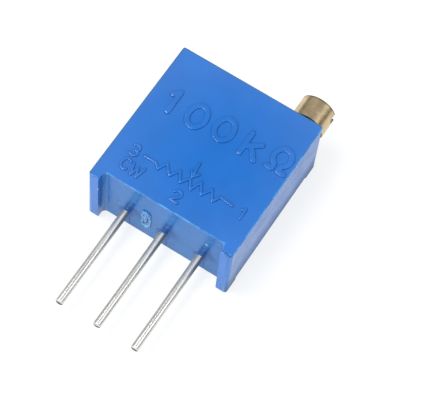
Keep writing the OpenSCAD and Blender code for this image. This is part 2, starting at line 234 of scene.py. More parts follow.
def shade(piece, angle=SMOOTH, weighted=True):
    """Smooth shading that leaves large flat faces flat."""
    only(piece)
    bpy.ops.object.shade_smooth_by_angle(angle=angle)
    if weighted:
        even = piece.modifiers.new("even", "WEIGHTED_NORMAL")
        even.keep_sharp = True
        bpy.ops.object.modifier_apply(modifier=even.name)
    return piece


# %% [markdown]
# The case is moulded plastic. No moulded edge is sharp: the cutter that made the mould leaves
# a small radius on each, and that radius is what catches the light along the rim of the
# marked face. The outer edges are round in the solid already. A bevel modifier would take all
# the others, those inside the case too, so only the sharp ones round the step between the
# feet and along the relief of the side walls are picked and bevelled.

# %% Case
case = merged_copy("housing", "moulded_case", "housing", "case_plastic")
STEP_EDGE, RELIEF_EDGE = 0.09 * MM, 0.04 * MM  # the radii
NEAR = 0.012 * MM
FUNNEL_ROOM = 0.62 * MM  # kept clear round a lead, where the funnel is
FUNNEL_TOP = 2.2 * MM
RELIEF_DEEP = 0.44 * MM  # reach of the relief's edges inwards from a side wall
RELIEF_HALF = 3.96 * MM  # a little over half the length of the relief


def near_a_lead(point):
    beside = any(abs(point.x - x) < FUNNEL_ROOM for x in LEAD_X.values())
    return beside and point.z < FUNNEL_TOP


def sharp_outward(edge):
    return len(edge.link_faces) == 2 and edge.calc_face_angle_signed() > math.radians(50)


def step_edge(edge):
    """A sharp outward edge of the step between the feet."""
    point = middle(edge)
    in_step = point.y < LEAD_FACE + NEAR and abs(point.x) < STEP_X + NEAR
    on_skin = TOP - point.z < NEAR or point.z < NEAR or point.y - FEET < NEAR
    return in_step and on_skin and sharp_outward(edge) and not near_a_lead(point)


def relief_edge(edge):
    """An edge of the relief along the back of a side wall."""
    point = middle(edge)
    in_relief = abs(point.x) > case_high.x - RELIEF_DEEP and point.z < RELIEF_H + NEAR
    return in_relief and abs(point.y) < RELIEF_HALF and sharp_outward(edge)


found = pick(case, "edges", step_edge)
bpy.ops.mesh.bevel(offset=STEP_EDGE, segments=4, profile=0.5, clamp_overlap=True)
done()
relieved = pick(case, "edges", relief_edge)
bpy.ops.mesh.bevel(offset=RELIEF_EDGE, segments=2, profile=0.5, clamp_overlap=True)
done()
shade(case)
print("case: bevelled", found, "and", relieved, "edges,", len(case.data.polygons), "faces")

# %% [markdown]
# The marking is cut into the mould with a small cutter, so on the part it stands a few
# hundredths of a millimetre proud, with a flat top and steep rounded sides: only its outline
# catches the light. A text object would be quicker, but the strokes of a font swell and
# taper, and those of one cutter don't. So each character is a few paths, drawn about its
# middle at a height of one, with arcs for the round stretches.


# %% Characters of the marking
def arc(x, y, rx, ry, start, end, steps=10):
    """Points on part of an oval, in degrees."""
    turn = [math.radians(start + (end - start) * i / steps) for i in range(steps + 1)]
    return [(x + rx * math.cos(a), y + ry * math.sin(a)) for a in turn]


GLYPHS = {
    "0": [arc(0, 0, 0.36, 0.5, 90, 450, 24)],
    "1": [[(-0.2, 0.26), (0.06, 0.5), (0.06, -0.5)]],
    "2": [arc(0, 0.2, 0.34, 0.3, 165, -35) + [(-0.34, -0.5), (0.38, -0.5)]],
    "3": [arc(0, 0.24, 0.3, 0.26, 150, -85), arc(0, -0.23, 0.34, 0.27, 85, -150)],
    "C": [arc(0.04, 0, 0.38, 0.5, 50, 310, 14)],
    "W": [[(-0.5, 0.5), (-0.25, -0.5), (0, 0.34), (0.25, -0.5), (0.5, 0.5)]],
    "k": [[(-0.34, 0.5), (-0.34, -0.5)], [(0.34, 0.24), (-0.3, -0.14)],
          [(-0.06, 0.0), (0.38, -0.5)]],
    "ohm": [[(-0.46, -0.5), (-0.17, -0.5)] + arc(0, 0.1, 0.42, 0.4, 245, -65, 20)
            + [(0.17, -0.5), (0.46, -0.5)]],
}


def glyph(name, x, y, wide, tall):
    """The paths of one character, at its place and size in millimetres."""
    return [[(x + u * wide, y + v * tall) for u, v in line] for line in GLYPHS[name]]


SHARP_TURN = math.radians(55)


def legs(path):
    """The path broken where it turns sharply, because a wide stroke would fold on itself there."""
    points = [Vector(p) for p in path]
    parts, part = [], [points[0]]
    for before, at, after in zip(points, points[1:], points[2:]):
        part.append(at)
        if (at - before).angle(after - at) > SHARP_TURN:
            parts.append(part)
            part = [at]
    return parts + [part + [points[-1]]]


print("characters:", sorted(GLYPHS))

# %% [markdown]
# Each path becomes a curve. It is given a flat section, wider than it is high and round at
# its two sides, laid on its side by tilting its points, and then it is turned into a mesh. A
# cutter leaves a half circle at the end of a stroke, and a curve has no round caps, so three
# points are set along the last half width, each with the radius that the circle has there.

# %% A stroke
ROUND_END = (0.0, 0.13, 0.5)  # places along the round end, in half widths
THINNEST = 0.12  # radius of the very end, as a share
SIDE_R = 0.065 * MM  # the round side of a stroke


def stroke(points, wide, proud, level):
    """One flat-topped stroke, its width and its height above the level in millimetres."""
    closed = (points[0] - points[-1]).length < 1e-6
    if closed:
        points = points[:-1]
    else:
        back = (points[0] - points[1]).normalized() * wide / 2
        ahead = (points[-1] - points[-2]).normalized() * wide / 2
        points = ([points[0] + back * (1 - s) for s in ROUND_END] + points
                  + [points[-1] + ahead * (1 - s) for s in reversed(ROUND_END)])
    mesh = bpy.data.meshes.new("stroke")
    line = bpy.data.objects.new("stroke", mesh)
    bpy.context.scene.collection.objects.link(line)
    links = [(i, i + 1) for i in range(len(points) - 1)]
    if closed:
        links.append((len(points) - 1, 0))
    mesh.from_pydata([(p.x * MM, p.y * MM, 0) for p in points], links, [])
    only(line)
    bpy.ops.object.convert(target="CURVE")
    curve = bpy.context.view_layer.objects.active
    curve.data.twist_mode = "Z_UP"
    curve.data.bevel_depth = SIDE_R
    curve.data.extrude = wide / 2 * MM - SIDE_R
    curve.data.bevel_resolution = 3
    curve.data.use_fill_caps = not closed
    for spline in curve.data.splines:
        count = len(spline.points)
        for k, point in enumerate(spline.points):
            point.tilt = math.pi / 2
            near_end = min(k, count - 1 - k)
            if not closed and near_end < len(ROUND_END):
                point.radius = max(THINNEST, math.sqrt(1 - (1 - ROUND_END[near_end]) ** 2))
    bpy.ops.object.convert(target="MESH")
    solid = bpy.context.view_layer.objects.active
    solid.location.z = level + proud * MM - SIDE_R
    return apply_place(solid)


print("strokes are", round(2 * SIDE_R / MM, 2), "mm thick")

# %% [markdown]
# The strokes of one marking are joined into one piece. A union would cut away what is hidden
# where two strokes cross, but it is slow and can fail on so many small solids. They overlap
# as they are instead, and four legs in a row stand at four heights, so that no two tops that
# cross lie in one plane.

# %% A marking made of strokes
APART = 0.001  # millimetres from the top of one leg to that of the next


def marking(name, paths, wide, proud, level=TOP):
    """All strokes of one marking, joined into a piece of the case."""
    parts = [leg for path in paths for leg in legs(path)]
    strokes = [stroke(leg, wide, proud + APART * (i % 4), level) for i, leg in enumerate(parts)]
    only(strokes[0])
    for other in strokes:
        other.select_set(True)
    bpy.ops.object.join()
    piece = bpy.context.view_layer.objects.active
    piece.name = name
    piece.data.name = name
    edit(piece)
    bpy.ops.mesh.select_all(action="SELECT")
    bpy.ops.mesh.remove_doubles(threshold=MERGE / 2)
    bpy.ops.mesh.select_all(action="SELECT")
    bpy.ops.mesh.normals_make_consistent(inside=False)
    done()
    shade(piece, math.radians(40))
    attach(piece, "housing")
    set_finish(piece, "case_plastic")
    print(name, len(piece.data.polygons), "faces")
    return piece


print("tops stand", APART, "mm apart")

# %% [markdown]
# The face tells the user which lead is which: a resistor symbol with the wiper's arrow, the
# numbers of the three leads, and the letters for clockwise beside lead 3, where the wiper
# goes when the screw turns that way. The large row gives a plain resistance value.

# %% Marking on the face
VALUE_TALL = 1.5
value_row = [("1", -3.3, 1.55, 1.3), ("0", -1.61, 1.5, 1.5), ("0", 0.14, 1.65, 1.5),
             ("k", 2.05, 1.62, 1.3), ("ohm", 3.86, 1.8, 1.25)]  # place and width of each
value_paths = [path for g, x, y, wide in value_row for path in glyph(g, x, y, wide, VALUE_TALL)]
marking("value_marking", value_paths, wide=0.36, proud=0.075)

symbol = [(-2.72, -2.32), (-1.95, -2.3), (-1.66, -2.59), (-1.39, -2.0), (-0.88, -2.57),
          (-0.53, -1.96), (-0.15, -2.6), (0.2, -2.05), (0.57, -2.67), (0.84, -1.9),
          (1.25, -2.6), (1.61, -1.96), (1.98, -2.61), (2.24, -2.11), (3.08, -2.19)]
arrow = [[(0.14, -1.0), (0.24, -1.88)], [(0.0, -1.62), (0.24, -1.92), (0.5, -1.58)]]
marking("resistor_symbol", [symbol] + arrow, wide=0.20, proud=0.07)

SMALL = 0.72
labels = [("3", -3.36, -2.3), ("C", -3.34, -3.32), ("W", -2.58, -3.38), ("1", 3.8, -2.31),
          ("2", 0.15, -3.44)]
label_paths = [path for g, x, y in labels for path in glyph(g, x, y, SMALL, SMALL)]
marking("lead_numerals", label_paths, wide=0.19, proud=0.07)

# %% [markdown]
# Where the plastic flowed into the mould, a stub was broken off between two of the leads. It
# leaves an oval scar with a raised, ragged lip, paler where the plastic was torn. A bump in the
# material would leave its outline smooth, so the lip is modelled: a thin torus is drawn out to the
# oval and its points are moved by a seeded random draw, which gives the same lip at every run.
# Inside it lies a hook, a low stroke painted dark as the shade in a torn groove.

# %% Gate scar
SCAR_X, SCAR_Z = -1.143 * MM, 1.98 * MM
RING, AROUND = 64, 10  # points round the lip, and round its own thickness
draw = random.Random(7)
bpy.ops.object.select_all(action="DESELECT")
bpy.ops.mesh.primitive_torus_add(
    major_radius=0.28 * MM, minor_radius=0.055 * MM, major_segments=RING, minor_segments=AROUND,
    location=(SCAR_X, LEAD_FACE - 0.03 * MM, SCAR_Z), rotation=(math.radians(90), 0, 0))
scar = bpy.context.view_layer.objects.active
scar.name = scar.data.name = "gate_scar"
scar.scale = (0.95, 3.0, 1)
apply_place(scar)
ragged = [draw.uniform(-1, 1) for _ in range(RING)]
for i, vertex in enumerate(scar.data.vertices):
    k = (i // AROUND) % RING
    out = Vector((vertex.co.x - SCAR_X, 0, vertex.co.z - SCAR_Z)).normalized()
    swell = ragged[k] + 0.8 * math.sin(k * 0.7) + 0.6 * math.sin(k * 0.31 + 1)
    vertex.co += out * swell * 0.035 * MM
    vertex.co.x += 0.05 * MM * ragged[(i * 7) % RING]
    vertex.co.y += 0.045 * MM * (ragged[(i * 5 + 3) % RING] + math.sin(k * 0.45)) / 2
shade(scar)
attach(scar, "housing")
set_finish(scar, "case_plastic")

hook_path = [(0.02, 0.62), (0.1, 0.3), (0.11, -0.05), (0.03, -0.4), (-0.09, -0.55), (-0.15, -0.38)]
hook = marking("scar_hook", [hook_path], wide=0.13, proud=0.02, level=0)
hook.location = (SCAR_X, LEAD_FACE - 0.04 * MM, SCAR_Z)
hook.rotation_euler.x = math.radians(90)
apply_place(hook)
print("scar", len(scar.data.polygons), "faces")

# %% [markdown]
# The leads are tinned copper wire, cut with shears. The cut end is a little out of square
# and its edge is rolled over. A slice could be cut off, but the points at the end are there
# already: they are picked and tilted, each lead by its own angle, and the rim is bevelled.

# %% Leads
SHEAR = {1: 7, 2: 4, 3: 9}  # degrees out of square
CUT_EDGE = 0.045 * MM


def sharper_than(edge, angle):
    """Whether two faces meet at an edge at more than an angle in degrees, inwards or outwards."""
    return len(edge.link_faces) == 2 and edge.calc_face_angle() > math.radians(angle)


for n in (1, 2, 3):
    wire = merged_copy(f"lead_{n}", f"tinned_lead_{n}", "housing", "tinned_wire")
    tip = (LEAD_X[n], LEAD_END, WIRE_Z)
    count = pick(wire, "verts", lambda v: abs(v.co.y - LEAD_END) < NEAR)
    bpy.ops.transform.rotate(value=math.radians(SHEAR[n]), orient_axis="X", center_override=tip)
    pick(wire, "edges", lambda e: middle(e).y < LEAD_END + 0.06 * MM and sharper_than(e, 40))
    bpy.ops.mesh.bevel(offset=CUT_EDGE, segments=3, profile=0.6)
    done()
    shade(wire)
    print(wire.name, len(wire.data.polygons), "faces,", count, "points at the cut")

# %% [markdown]
# Each lead leaves the case through a small funnel, which is filled with sealing resin of a
# darker blue. Liquid resin climbs the wire, so it sets as a low cone with a hollow flank. The
# flank of a cone primitive is straight, so a disc is added at the size of the funnel, and its
# outer face is inset and pulled up the wire in steps.

# %% Resin round the leads
SEAL_R, SEAL_DEEP, SEAL_PROUD = 0.49 * MM, 0.12 * MM, 0.003 * MM
SEAL_STEPS = ((0.08, 0.002), (0.06, 0.005), (0.05, 0.010), (0.035, 0.02))  # inset, rise in mm
seals = []
for n in (1, 2, 3):
    bpy.ops.object.select_all(action="DESELECT")
    seal_y = LEAD_FACE + SEAL_DEEP / 2 - SEAL_PROUD
    bpy.ops.mesh.primitive_cylinder_add(
        vertices=48, radius=SEAL_R, depth=SEAL_DEEP, end_fill_type="NGON",
        location=(LEAD_X[n], seal_y, WIRE_Z), rotation=(math.radians(90), 0, 0))
    seal = bpy.context.view_layer.objects.active
    seal.name = seal.data.name = f"lead_seal_{n}"
    apply_place(seal)
    pick(seal, "faces", lambda f: len(f.verts) > 4 and f.calc_center_median().y < LEAD_FACE)
    for narrower, rise in SEAL_STEPS:
        bpy.ops.mesh.inset(thickness=narrower * MM, depth=0)
        bpy.ops.transform.translate(value=(0, -rise * MM, 0))
    done()
    shade(seal, math.radians(50), weighted=False)
    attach(seal, "housing")
    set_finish(seal, "case_plastic")
    seals.append(seal)
print("resin cones:", len(seals), "of", len(seals[0].data.polygons), "faces")

# %% [markdown]
# The screw is turned from brass rod on an automatic lathe. Its solid has the worm thread,
# both grooves and the slot. A thread made anew might not mesh with the wheel, so the copy
# keeps the shape, and only the burr is taken off the slot.

# %% Screw
screw = merged_copy("adjustment_screw", "brass_screw", "screw", "screw_brass")
SLOT_FLOOR = screw_high.y - 0.6 * MM  # just under the floor of the slot
BURR = 0.03 * MM
found = pick(screw, "edges", lambda e: middle(e).y > SLOT_FLOOR and sharper_than(e, 60))
bpy.ops.mesh.bevel(offset=BURR, segments=2, profile=0.6)
done()
shade(screw)
print("screw: bevelled", found, "edges,", len(screw.data.polygons), "faces")

# %% [markdown]
# The works inside are seen only when the case is opened, but they get the same care with
# their skins: the wheel, the wiper, the seal, the fork, the cover and the solder are merged
# and smoothed by one loop. The plate and the films on it are flat and stay as they are.

# %% Works inside the case
inner = {
    "worm_wheel": ("moulded_wheel", "rotor", "wheel_plastic"),
    "wiper_spring": ("stamped_spring", "rotor", "spring_alloy"),
    "wiper_brush": ("contact_brush", "rotor", "contact_alloy"),
    "screw_seal_ring": ("seal_ring", "screw", "seal_rubber"),
    "screw_retainer": ("retainer_fork", "housing", "spring_steel"),
    "back_cover": ("inset_cover", "housing", "cover_plastic"),
}
works = {node: shade(merged_copy(node, *how)) for node, how in inner.items()}
for n in (1, 2, 3):
    node = f"solder_joint_{n}"
    works[node] = shade(merged_copy(node, f"solder_fillet_{n}", "housing", "solder"))
print("works:", sorted(works))

# %% [markdown]
# ## Surfaces
#
# A picture wrapped round each piece would need seams and would turn coarse close up, so each
# surface is built from the same few parts instead: a base shader, noise for slow changes of
# colour, a second noise for roughness and a bump for the finest relief. All patterns are
# laid on object coordinates, so they stay put when a piece moves. Scales are per metre,
# which makes them large numbers on a part this small.


# %% A base, noise and ramps
def surface(name, base, rough, metal=0.0):
    """A new material, with what the next calls need of it: tree, shader and coordinates."""
    material = bpy.data.materials.new(name)
    material.use_nodes = True
    tree = material.node_tree
    shader = tree.nodes["Principled BSDF"]
    shader.inputs["Base Color"].default_value = (*base, 1)
    shader.inputs["Roughness"].default_value = rough
    shader.inputs["Metallic"].default_value = metal
    place = tree.nodes.new("ShaderNodeTexCoord")
    return material, tree, shader, place.outputs["Object"]


def noise(tree, where, scale, detail=3.0, stretch=(1, 1, 1), seed=0.0):
    """A noise laid on the object, drawn out along an axis by a stretch below one."""
    mapping = tree.nodes.new("ShaderNodeMapping")
    mapping.inputs["Scale"].default_value = stretch
    mapping.inputs["Location"].default_value = (seed, seed * 0.7, seed * 0.3)
    tree.links.new(where, mapping.inputs["Vector"])
    texture = tree.nodes.new("ShaderNodeTexNoise")
    texture.inputs["Scale"].default_value = scale
    texture.inputs["Detail"].default_value = detail
    tree.links.new(mapping.outputs["Vector"], texture.inputs["Vector"])
    return texture.outputs["Fac"]


def ramp(tree, value, stops):
    """Colours or grey levels read off along a value, at stops that go upwards."""
    node = tree.nodes.new("ShaderNodeValToRGB")
    first, *between, last = stops
    for k, (place, colour) in enumerate([first, last] + between):
        stop = node.color_ramp.elements[k] if k < 2 else node.color_ramp.elements.new(place)
        stop.position = place
        stop.color = (*colour, 1) if hasattr(colour, "__len__") else (colour, colour, colour, 1)
    tree.links.new(value, node.inputs["Fac"])
    return node.outputs["Color"]


def mixed(tree, kind, factor, first, second):
    """Mix, add or multiply two colours, by a factor that varies over the surface."""
    node = tree.nodes.new("ShaderNodeMix")
    node.data_type = "RGBA"
    node.blend_type = kind
    tree.links.new(factor, node.inputs["Factor"])
    tree.links.new(first, node.inputs[6])
    tree.links.new(second, node.inputs[7])
    return node.outputs[2]


print("base, noise, ramps and mixes ready")

# %% [markdown]
# No real surface has one colour, one gloss or one height all over. Three small layers break
# them up. Each has a scale of its own, so that their patterns don't fall together.


# %% Uneven colour, gloss and height
def varied(tree, shader, where, base, share, scale, detail=3.0, stretch=(1, 1, 1)):
    """The base colour drifts to a share darker and a share lighter."""
    dark, light = [tuple(min(1, c * (1 + k * share)) for c in base) for k in (-1, 1)]
    value = noise(tree, where, scale, detail, stretch)
    tree.links.new(ramp(tree, value, [(0.3, dark), (0.7, light)]), shader.inputs["Base Color"])


def worn(tree, shader, where, low, high, scale, stretch=(1, 1, 1)):
    """The roughness drifts between two values."""
    value = noise(tree, where, scale, 4.0, stretch, seed=3.0)
    tree.links.new(ramp(tree, value, [(0.3, low), (0.7, high)]), shader.inputs["Roughness"])


def relief(tree, shader, height, strength, distance, under=None):
    """A bump on top of the one before it."""
    node = tree.nodes.new("ShaderNodeBump")
    node.inputs["Strength"].default_value = strength
    node.inputs["Distance"].default_value = distance
    tree.links.new(height, node.inputs["Height"])
    if under is not None:
        tree.links.new(under, node.inputs["Normal"])
    tree.links.new(node.outputs["Normal"], shader.inputs["Normal"])
    return node.outputs["Normal"]


print("layers of every surface ready")

# %% [markdown]
# Wear and dirt have their places on the case: along its rim, beside the leads, in its
# corners. A mask says where, as a value that goes from 0 to 1 over a short passage. It could
# be painted on the points of the mesh, but the large faces have no points inside them. So it
# is read from the same object coordinates, and its limits are real distances on the part.


# %% Masks by place
def coordinate(tree, where, axis):
    """One of the three object coordinates, in metres."""
    split = tree.nodes.new("ShaderNodeSeparateXYZ")
    tree.links.new(where, split.inputs["Vector"])
    return split.outputs[axis]


def passage(tree, value, zero, one):
    """0 where a value is at one level, 1 at another, and a straight slope between them."""
    node = tree.nodes.new("ShaderNodeMapRange")
    node.inputs["From Min"].default_value = zero
    node.inputs["From Max"].default_value = one
    tree.links.new(value, node.inputs["Value"])
    return node.outputs["Result"]


def levels(tree, where, axis, zero, one):
    """0 at one level of an axis and 1 at another."""
    return passage(tree, coordinate(tree, where, axis), zero, one)


def below_top(tree, where, zero, one):
    """0 at one depth under the marked face and 1 at another, in millimetres."""
    return levels(tree, where, "Z", TOP - zero * MM, TOP - one * MM)


def behind_lead_face(tree, where, zero, one):
    """0 at one distance behind the face with the leads and 1 at another, in millimetres."""
    return levels(tree, where, "Y", LEAD_FACE + zero * MM, LEAD_FACE + one * MM)


def from_middle(tree, where, zero, one):
    """0 at one distance from the middle of the part, to either side, and 1 at another."""
    size = tree.nodes.new("ShaderNodeMath")
    size.operation = "ABSOLUTE"
    tree.links.new(coordinate(tree, where, "X"), size.inputs[0])
    return passage(tree, size.outputs["Value"], zero, one)


def on_side_walls(tree, where):
    """1 on the outer skin of the two side walls, 0 further in."""
    return from_middle(tree, where, case_high.x - 0.14 * MM, case_high.x - 0.06 * MM)


def spot(tree, where, centre, size, lean=0.0):
    """1 in the middle of a round or oval spot, falling to 0 at its outline."""
    mapping = tree.nodes.new("ShaderNodeMapping")
    mapping.vector_type = "TEXTURE"
    mapping.inputs["Location"].default_value = centre
    mapping.inputs["Rotation"].default_value = (0, lean, 0)
    mapping.inputs["Scale"].default_value = size
    tree.links.new(where, mapping.inputs["Vector"])
    ball = tree.nodes.new("ShaderNodeTexGradient")
    ball.gradient_type = "SPHERICAL"
    tree.links.new(mapping.outputs["Vector"], ball.inputs["Vector"])
    return ball.outputs["Fac"]


def always(tree, where):
    """A mask that is one everywhere on the part."""
    return levels(tree, where, "Z", -2, -1)


print("masks ready")

# %% [markdown]
# What a mask lets through is laid over the colour, the gloss or the roughness that the shader
# has so far, so each kind of wear is one more layer on those before it.


# %% Laying one layer over another
def plain_colour(tree, where, colour):
    """One colour or grey level, as an output that can be linked and mixed."""
    return ramp(tree, always(tree, where), [(0.0, colour), (1.0, colour)])


def over(tree, shader, kind, mask, change, socket="Base Color"):
    """Lay a change over what feeds a socket of the shader so far."""
    so_far = shader.inputs[socket].links[0].from_socket
    tree.links.new(mixed(tree, kind, mask, so_far, change), shader.inputs[socket])


def recoloured(tree, shader, masks, colour, socket="Base Color"):
    """Give a socket another colour or value at the places where every mask is one."""
    so_far = shader.inputs[socket].links[0].from_socket
    for mask in masks:
        colour = mixed(tree, "MIX", mask, so_far, colour)
    tree.links.new(colour, shader.inputs[socket])


print("layers over layers ready")

# %% [markdown]
# The case is a glossy blue thermoplastic. Up close such a surface is not a mirror: the mould was
# spark-eroded and polished, which leaves a faint orange-peel and a fine grain, and the pigment is
# slightly uneven. Towards the outline of the marked face a painted sheen stands in for reflected
# light: a round gradient, clear in the middle, adds a little white there.

# %% Case plastic
CASE_BLUE = (0.002, 0.150, 0.575)
SHEEN_WHITE = 0.021  # the white added a quarter of the way in from the outline
SHEEN_MIDDLE = (0.7 * MM, -0.3 * MM, 0)
SHEEN_R = 6.2 * MM
case_plastic, tree, shader, where = surface("case_plastic", CASE_BLUE, 0.22)
varied(tree, shader, where, CASE_BLUE, 0.05, 420)
# Painted sheen: a little white added towards the outline of the marked face.
clear = spot(tree, where, SHEEN_MIDDLE, (SHEEN_R, SHEEN_R, 1))
painted_sheen = ramp(tree, clear, [(0.0, SHEEN_WHITE * 1.6), (0.25, SHEEN_WHITE), (0.5, SHEEN_WHITE * 0.5),
                          (0.75, SHEEN_WHITE * 0.12), (1.0, 0.0)])
over(tree, shader, "ADD", below_top(tree, where, 0.25, 0.05), painted_sheen)
worn(tree, shader, where, 0.17, 0.29, 900)
print("case plastic begun with", len(tree.nodes), "nodes")

# %% [markdown]
# The part lies and slides on its back, so the side walls are rubbed dull towards their back edge,
# and their colour is darker there: painted shade from the table close below. Two edges of the
# marked face, the left and the far one, are painted grey as a dark reflection.

# %% Rubbed side walls, painted shade and painted dark rim
RUB_AND_SHADE_LOW, RUB_AND_SHADE_HIGH = 0.1 * MM, 2.2 * MM
RIM_DARK_REFLECTION = (0.05, 0.17, 0.40)
RIM_IN, RIM_FULL = 0.16, 0.08  # millimetres from the edge where the grey begins and is full
up_wall = levels(tree, where, "Z", RUB_AND_SHADE_LOW, RUB_AND_SHADE_HIGH)
wall = on_side_walls(tree, where)
fresh = shader.inputs["Roughness"].links[0].from_socket
scuffed = ramp(tree, noise(tree, where, 2600, seed=8.0), [(0.3, 0.42), (0.7, 0.52)])
over(tree, shader, "MIX", wall, mixed(tree, "MIX", up_wall, scuffed, fresh), "Roughness")
# Painted shade: the side walls darken towards their back edge.
wall_shade = ramp(tree, up_wall, [(0.0, (0.66, 0.68, 0.56)), (0.8, (1.0, 1.07, 1.0))])
over(tree, shader, "MULTIPLY", wall, wall_shade)

# Painted dark reflection along the left and far edges of the marked face.
rim_depth = below_top(tree, where, RIM_IN, RIM_FULL)
left_rim = levels(tree, where, "X", -case_high.x + RIM_IN * MM, -case_high.x + RIM_FULL * MM)
far_rim = levels(tree, where, "Y", case_high.y - RIM_IN * MM, case_high.y - RIM_FULL * MM)
for rim in (left_rim, far_rim):
    recoloured(tree, shader, (rim, rim_depth), plain_colour(tree, where, RIM_DARK_REFLECTION))
print("walls and rim:", len(tree.nodes), "nodes")

# %% [markdown]
# The ends of the feet came shiny from the mould, and the face between them is duller. Their colour
# carries painted light too: the ends of the feet are painted lighter, as lit, the face between
# them darker, as in shade, and all of this side darkens a little towards the back as painted
# shade. A value that runs from the ends of the feet into the case tells the two apart.

# %% Painted light and gloss of the feet and the lead face
UNCHANGED = (1.0, 1.0, 1.0)
LIT_FEET, SHADED_FACE, SHADED_BACK = (0.95, 1.14, 1.10), (0.86, 1.02, 0.86), (0.9, 0.86, 0.82)
inward = levels(tree, where, "Y", FEET, LEAD_FACE + 0.2 * MM)
lower = below_top(tree, where, 0.06, 0.12)
# Painted light: lighter ends of the feet, a shaded face between them.
tone = ramp(tree, inward, [(0.0, LIT_FEET), (0.70, LIT_FEET), (0.75, SHADED_FACE),
                           (0.93, SHADED_FACE), (1.0, UNCHANGED)])
over(tree, shader, "MULTIPLY", lower, tone)
# Painted shade towards the back.
from_back = levels(tree, where, "Z", 0.0, 2.8 * MM)
back_shade = ramp(tree, from_back, [(0.0, SHADED_BACK), (1.0, UNCHANGED)])
over(tree, shader, "MULTIPLY", lower, back_shade)

gloss = ramp(tree, inward, [(0.0, 0.48), (0.70, 0.48), (0.75, 0.34), (0.93, 0.34), (1.0, 0.5)])
wall_gloss = ramp(tree, on_side_walls(tree, where), [(0.0, 0.5), (1.0, 0.33)])
lower_gloss = mixed(tree, "MIX", behind_lead_face(tree, where, 0.4, 0.1), wall_gloss, gloss)
all_gloss = mixed(tree, "MIX", lower, plain_colour(tree, where, 0.5), lower_gloss)
tree.links.new(all_gloss, shader.inputs["Specular IOR Level"])
print("feet and lead face:", len(tree.nodes), "nodes")

# %% [markdown]
# Beside and above each lead the face is painted darker in a three-cornered patch, as the shadow
# and dark reflection of the lead, and some gloss is taken off it. A noise would put such patches
# anywhere, so each is made of two ovals that overlap, one wide and one tall, at the same place
# beside every lead.

# %% Painted shade beside the leads
LEAD_SHADE_OVALS = [  # millimetres right of the lead and above it, half sizes, tone
    (0.52, 0.66, (0.62, 0.56), 0.72), (0.33, 1.08, (0.50, 0.92), 0.68)]
LEAD_SHADE_LEAN = 0.2  # in radians
LEAD_SHADE_EDGE = 0.45  # the soft edge, as a share of the half size


def shaded_beside_leads(tree, shader, where):
    """Darken the colour as painted shade and dull the gloss beside every lead."""
    front = behind_lead_face(tree, where, 0.12, 0.04)
    for x in LEAD_X.values():
        for right, up, (wide, tall), tone in LEAD_SHADE_OVALS:
            centre = (x + right * MM, LEAD_FACE, WIRE_Z + up * MM)
            oval = spot(tree, where, centre, (wide * MM, 1, tall * MM), LEAD_SHADE_LEAN)
            bluish = (tone - 0.06, tone, tone + 0.10)
            shaded_patch = ramp(tree, oval, [(0.0, UNCHANGED), (LEAD_SHADE_EDGE, bluish)])
            over(tree, shader, "MULTIPLY", front, shaded_patch)
            dull = ramp(tree, oval, [(0.0, 1.0), (LEAD_SHADE_EDGE, 0.7)])
            over(tree, shader, "MULTIPLY", front, dull, "Specular IOR Level")


shaded_beside_leads(tree, shader, where)
print("stains at x", [round(x / MM, 2) for x in LEAD_X.values()])

# %% [markdown]
# The two hollows where the feet meet the face with the leads are painted darker, as shade, and
# their gloss is dulled. An ambient occlusion node would find them by itself, but it would darken
# every other corner too, so two ramps mark out the hollows.

# %% Painted shade beside the feet
hollow = from_middle(tree, where, 3.6 * MM, 4.2 * MM)
across = ramp(tree, hollow, [(0.0, 0.0), (0.40, 0.0), (0.58, 1.0), (0.80, 1.0), (0.88, 0.0),
                             (1.0, 0.0)])
inside = ramp(tree, inward, [(0.0, 0.0), (0.03, 0.0), (0.07, 1.0), (0.90, 1.0), (1.0, 0.0)])
not_top = below_top(tree, where, 0.06, 0.14)
# Painted shade: the colour is darkened in the two hollows.
for socket, corner_shade in (("Base Color", (1.0, 0.90, 0.80)), ("Specular IOR Level", (0.6, 0.6, 0.6))):
    unshaded = shader.inputs[socket].links[0].from_socket
    corner_shaded = mixed(tree, "MULTIPLY", always(tree, where), unshaded, plain_colour(tree, where, corner_shade))
    recoloured(tree, shader, (across, inside, not_top), corner_shaded, socket)
print("dirt beside the feet:", len(tree.nodes), "nodes")

# %% [markdown]
# The plastic inside the lip of the scar is torn, and paler in patches. The front and right edges
# of the marked face are painted paler too, here and there, as a highlight along their rounded rim.
# A noise breaks both of them up.

# %% Torn scar and painted highlight on the edges
SCAR_PALE = (0.15, 0.40, 0.76)
EDGE_HIGHLIGHT_BLUE = (0.06, 0.34, 0.78)
oval = spot(tree, where, (SCAR_X, 0, SCAR_Z), (0.31 * MM, 1, 0.95 * MM))
in_scar = ramp(tree, oval, [(0.0, 0.0), (0.12, 1.0)])
front = behind_lead_face(tree, where, 0.12, 0.04)
torn = ramp(tree, noise(tree, where, 5200, seed=4.0), [(0.42, 0.0), (0.60, 1.0)])
recoloured(tree, shader, (in_scar, front, torn), plain_colour(tree, where, SCAR_PALE))

# Painted highlight along the front and right edges of the marked face.
edge_depth = below_top(tree, where, 0.13, 0.07)
front_rim = behind_lead_face(tree, where, 0.075, 0.045)
between_feet = from_middle(tree, where, 4.05 * MM, 3.95 * MM)
right_rim = levels(tree, where, "X", case_high.x - 0.07 * MM, case_high.x - 0.045 * MM)
patchy = ramp(tree, noise(tree, where, 1500, 4.0, seed=6.0), [(0.40, 0.0), (0.56, 1.0)])
edge_highlight = plain_colour(tree, where, EDGE_HIGHLIGHT_BLUE)
recoloured(tree, shader, (front_rim, edge_depth, between_feet, patchy), edge_highlight)
recoloured(tree, shader, (right_rim, edge_depth, patchy), edge_highlight)
print("scar and edges:", len(tree.nodes), "nodes")
